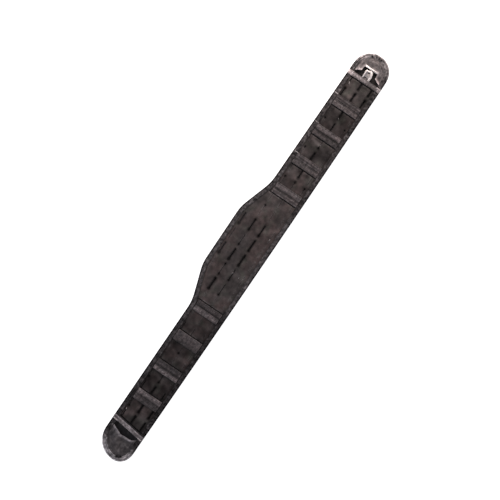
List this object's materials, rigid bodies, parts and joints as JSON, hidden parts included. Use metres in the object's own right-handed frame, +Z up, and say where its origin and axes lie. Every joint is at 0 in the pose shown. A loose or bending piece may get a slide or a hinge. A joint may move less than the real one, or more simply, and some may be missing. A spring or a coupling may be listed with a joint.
{
  "type": "padded tactical belt",
  "caption": "Padded load belt with a deeper lumbar part, a slotted laminate face, webbing across it, a channel for an inner belt and a round pocket on each end, one with a steel hook.",
  "frame": {"origin": "centre of the belt's box on the surface it lies on", "axes": "+X along the belt towards the end with the steel hook, +Y towards the deeper lumbar edge, +Z up out of the slotted face"},
  "size_m": [1.0423, 0.1113, 0.0138],
  "materials": {
    "spacer_pad": "knitted spacer mesh over foam",
    "nylon_binding": "woven grosgrain tape, stitched",
    "nylon_laminate": "matt woven nylon laminate, cut edges",
    "nylon_webbing": "ribbed nylon webbing",
    "end_tape_webbing": "narrow nylon webbing, a little shiny",
    "pocket_cloth": "woven nylon, stitched round the edge",
    "tab_webbing": "black nylon webbing",
    "bright_steel": "bright, lightly scratched"
  },
  "bodies": {
    "root": {"padded_back": "spacer_pad", "edge_binding": "nylon_binding", "face_panel_lumbar": "nylon_laminate", "face_panel_left_1": "nylon_laminate", "face_panel_left_2": "nylon_laminate", "face_panel_left_3": "nylon_laminate", "face_panel_left_4": "nylon_laminate", "face_panel_right_1": "nylon_laminate", "face_panel_right_2": "nylon_laminate", "face_panel_right_3": "nylon_laminate", "face_panel_right_4": "nylon_laminate", "webbing_band_left_1": "nylon_webbing", "webbing_band_left_2": "nylon_webbing", "webbing_band_left_3": "nylon_webbing", "webbing_band_left_4": "nylon_webbing", "webbing_band_right_1": "nylon_webbing", "webbing_band_right_2": "nylon_webbing", "webbing_band_right_3": "nylon_webbing", "webbing_band_right_4": "nylon_webbing", "end_tape_left": "end_tape_webbing", "end_pocket_left": "pocket_cloth", "end_tape_right": "end_tape_webbing", "end_pocket_right": "pocket_cloth", "hook_tab": "tab_webbing", "hook_plate": "bright_steel", "mouth_bar": "bright_steel"}
  },
  "joints": []
}
